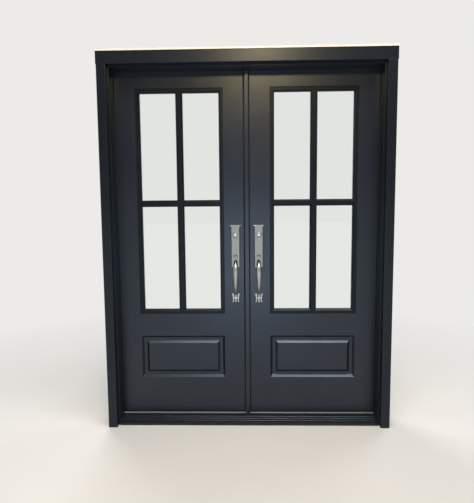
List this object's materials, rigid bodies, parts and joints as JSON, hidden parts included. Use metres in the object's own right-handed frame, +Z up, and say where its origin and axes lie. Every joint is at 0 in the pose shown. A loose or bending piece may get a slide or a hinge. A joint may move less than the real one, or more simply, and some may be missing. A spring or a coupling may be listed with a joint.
{
  "type": "french doors",
  "caption": "Glazed inswing entrance pair with raised lower panels, bowed-grip handlesets, an astragal and its own cased frame and sill.",
  "frame": {"origin": "on the floor, midway between the jambs, on the jambs' outer face, where the casings meet the wall", "axes": "+X to the right seen from outside, +Y from outside to inside, +Z up"},
  "size_m": [1.6396, 0.215, 2.1433],
  "materials": {
    "painted_wood": "dark charcoal satin paint on timber",
    "cream_metal": "cream factory coat",
    "sill_composite": "black composite",
    "dark_metal": "dark bronze anodised, and charcoal paint on the astragal",
    "seal": "matt black foam and fins",
    "steel": "satin nickel plate",
    "painted_skin": "dark charcoal satin paint on a moulded skin",
    "edge_timber": "painted timber edges",
    "foam_core": "rigid foam, hidden",
    "glass": "clear sealed double glazing",
    "satin_nickel": "satin nickel"
  },
  "bodies": {
    "frame": {"left_jamb": "painted_wood", "right_jamb": "painted_wood", "head_jamb": "painted_wood", "left_casing": "painted_wood", "right_casing": "painted_wood", "head_casing": "painted_wood", "drip_cap": "cream_metal", "sill_base": "sill_composite", "sill_deck": "dark_metal", "sill_cap": "sill_composite", "left_weatherstrip": "seal", "right_weatherstrip": "seal", "head_weatherstrip": "seal", "bolt_strikes": "steel", "left_frame_hinge_plates": "steel", "right_frame_hinge_plates": "steel", "left_hinge_pins": "steel", "right_hinge_pins": "steel"},
    "left_leaf": {"left_outer_skin": "painted_skin", "left_inner_skin": "painted_skin", "left_hinge_edge": "edge_timber", "left_lock_edge": "edge_timber", "left_end_rails": "edge_timber", "left_core": "foam_core", "left_outer_lite_frame": "painted_skin", "left_inner_lite_frame": "painted_skin", "left_glass": "glass", "left_sweep": "seal", "left_leaf_hinge_plates": "steel", "left_outer_plate": "satin_nickel", "left_key_plug": "satin_nickel", "left_thumb_piece": "satin_nickel", "left_grip": "satin_nickel", "left_inner_plate": "satin_nickel", "left_lever": "satin_nickel", "astragal": "dark_metal", "astragal_strikes": "steel"},
    "right_leaf": {"right_outer_skin": "painted_skin", "right_inner_skin": "painted_skin", "right_hinge_edge": "edge_timber", "right_lock_edge": "edge_timber", "right_end_rails": "edge_timber", "right_core": "foam_core", "right_outer_lite_frame": "painted_skin", "right_inner_lite_frame": "painted_skin", "right_glass": "glass", "right_sweep": "seal", "right_leaf_hinge_plates": "steel", "right_outer_plate": "satin_nickel", "right_grip": "satin_nickel", "right_inner_plate": "satin_nickel", "right_lock_cases": "steel"},
    "top_flush_bolt": {"top_flush_bolt": "steel"},
    "bottom_flush_bolt": {"bottom_flush_bolt": "steel"},
    "latch_bolt": {"latch_bolt": "steel"},
    "dead_bolt": {"dead_bolt": "steel"},
    "key_plug": {"right_key_plug": "satin_nickel"},
    "thumb_piece": {"right_thumb_piece": "satin_nickel"},
    "inside_lever": {"right_lever": "satin_nickel"},
    "thumbturn": {"thumbturn": "satin_nickel"}
  },
  "joints": [
    {"name": "left_leaf_hinge", "type": "hinge", "parent": "frame", "child": "left_leaf", "pos_m": [-0.765, 0.14, 1.0515], "axis": [0, 0, 1], "range_deg": [0, 115]},
    {"name": "right_leaf_hinge", "type": "hinge", "parent": "frame", "child": "right_leaf", "pos_m": [0.765, 0.14, 1.0515], "axis": [0, 0, -1], "range_deg": [0, 115]},
    {"name": "top_flush_bolt_slide", "type": "slide", "parent": "left_leaf", "child": "top_flush_bolt", "axis": [0, 0, -1], "range_m": [0, 0.015]},
    {"name": "bottom_flush_bolt_slide", "type": "slide", "parent": "left_leaf", "child": "bottom_flush_bolt", "axis": [0, 0, 1], "range_m": [0, 0.015]},
    {"name": "inside_lever_turn", "type": "hinge", "parent": "right_leaf", "child": "inside_lever", "pos_m": [0.0678, 0.18, 0.9755], "axis": [0, 1, 0], "range_deg": [0, 40], "stiffness_Nm_per_rad": 1, "springref_deg": -34.38},
    {"name": "latch_bolt_slide", "type": "slide", "parent": "right_leaf", "child": "latch_bolt", "axis": [1, 0, 0], "range_m": [0, 0.012]},
    {"name": "thumb_piece_press", "type": "hinge", "parent": "right_leaf", "child": "thumb_piece", "pos_m": [0.0678, 0.0845, 0.992], "axis": [1, 0, 0], "range_deg": [0, 15]},
    {"name": "thumbturn_turn", "type": "hinge", "parent": "right_leaf", "child": "thumbturn", "pos_m": [0.0678, 0.14, 1.1155], "axis": [0, 1, 0], "range_deg": [0, 90]},
    {"name": "dead_bolt_slide", "type": "slide", "parent": "right_leaf", "child": "dead_bolt", "axis": [-1, 0, 0], "range_m": [0, 0.025]},
    {"name": "key_plug_turn", "type": "hinge", "parent": "right_leaf", "child": "key_plug", "pos_m": [0.0678, 0.0735, 1.1155], "axis": [0, 1, 0], "range_deg": [0, 90]}
  ],
  "couplings": [
    {"joint": "latch_bolt_slide", "follows": "inside_lever_turn", "m_per_rad": 0.01718},
    {"joint": "thumb_piece_press", "follows": "inside_lever_turn", "ratio": 0.375},
    {"joint": "dead_bolt_slide", "follows": "thumbturn_turn", "m_per_rad": 0.01591},
    {"joint": "key_plug_turn", "follows": "thumbturn_turn", "ratio": 1}
  ]
}
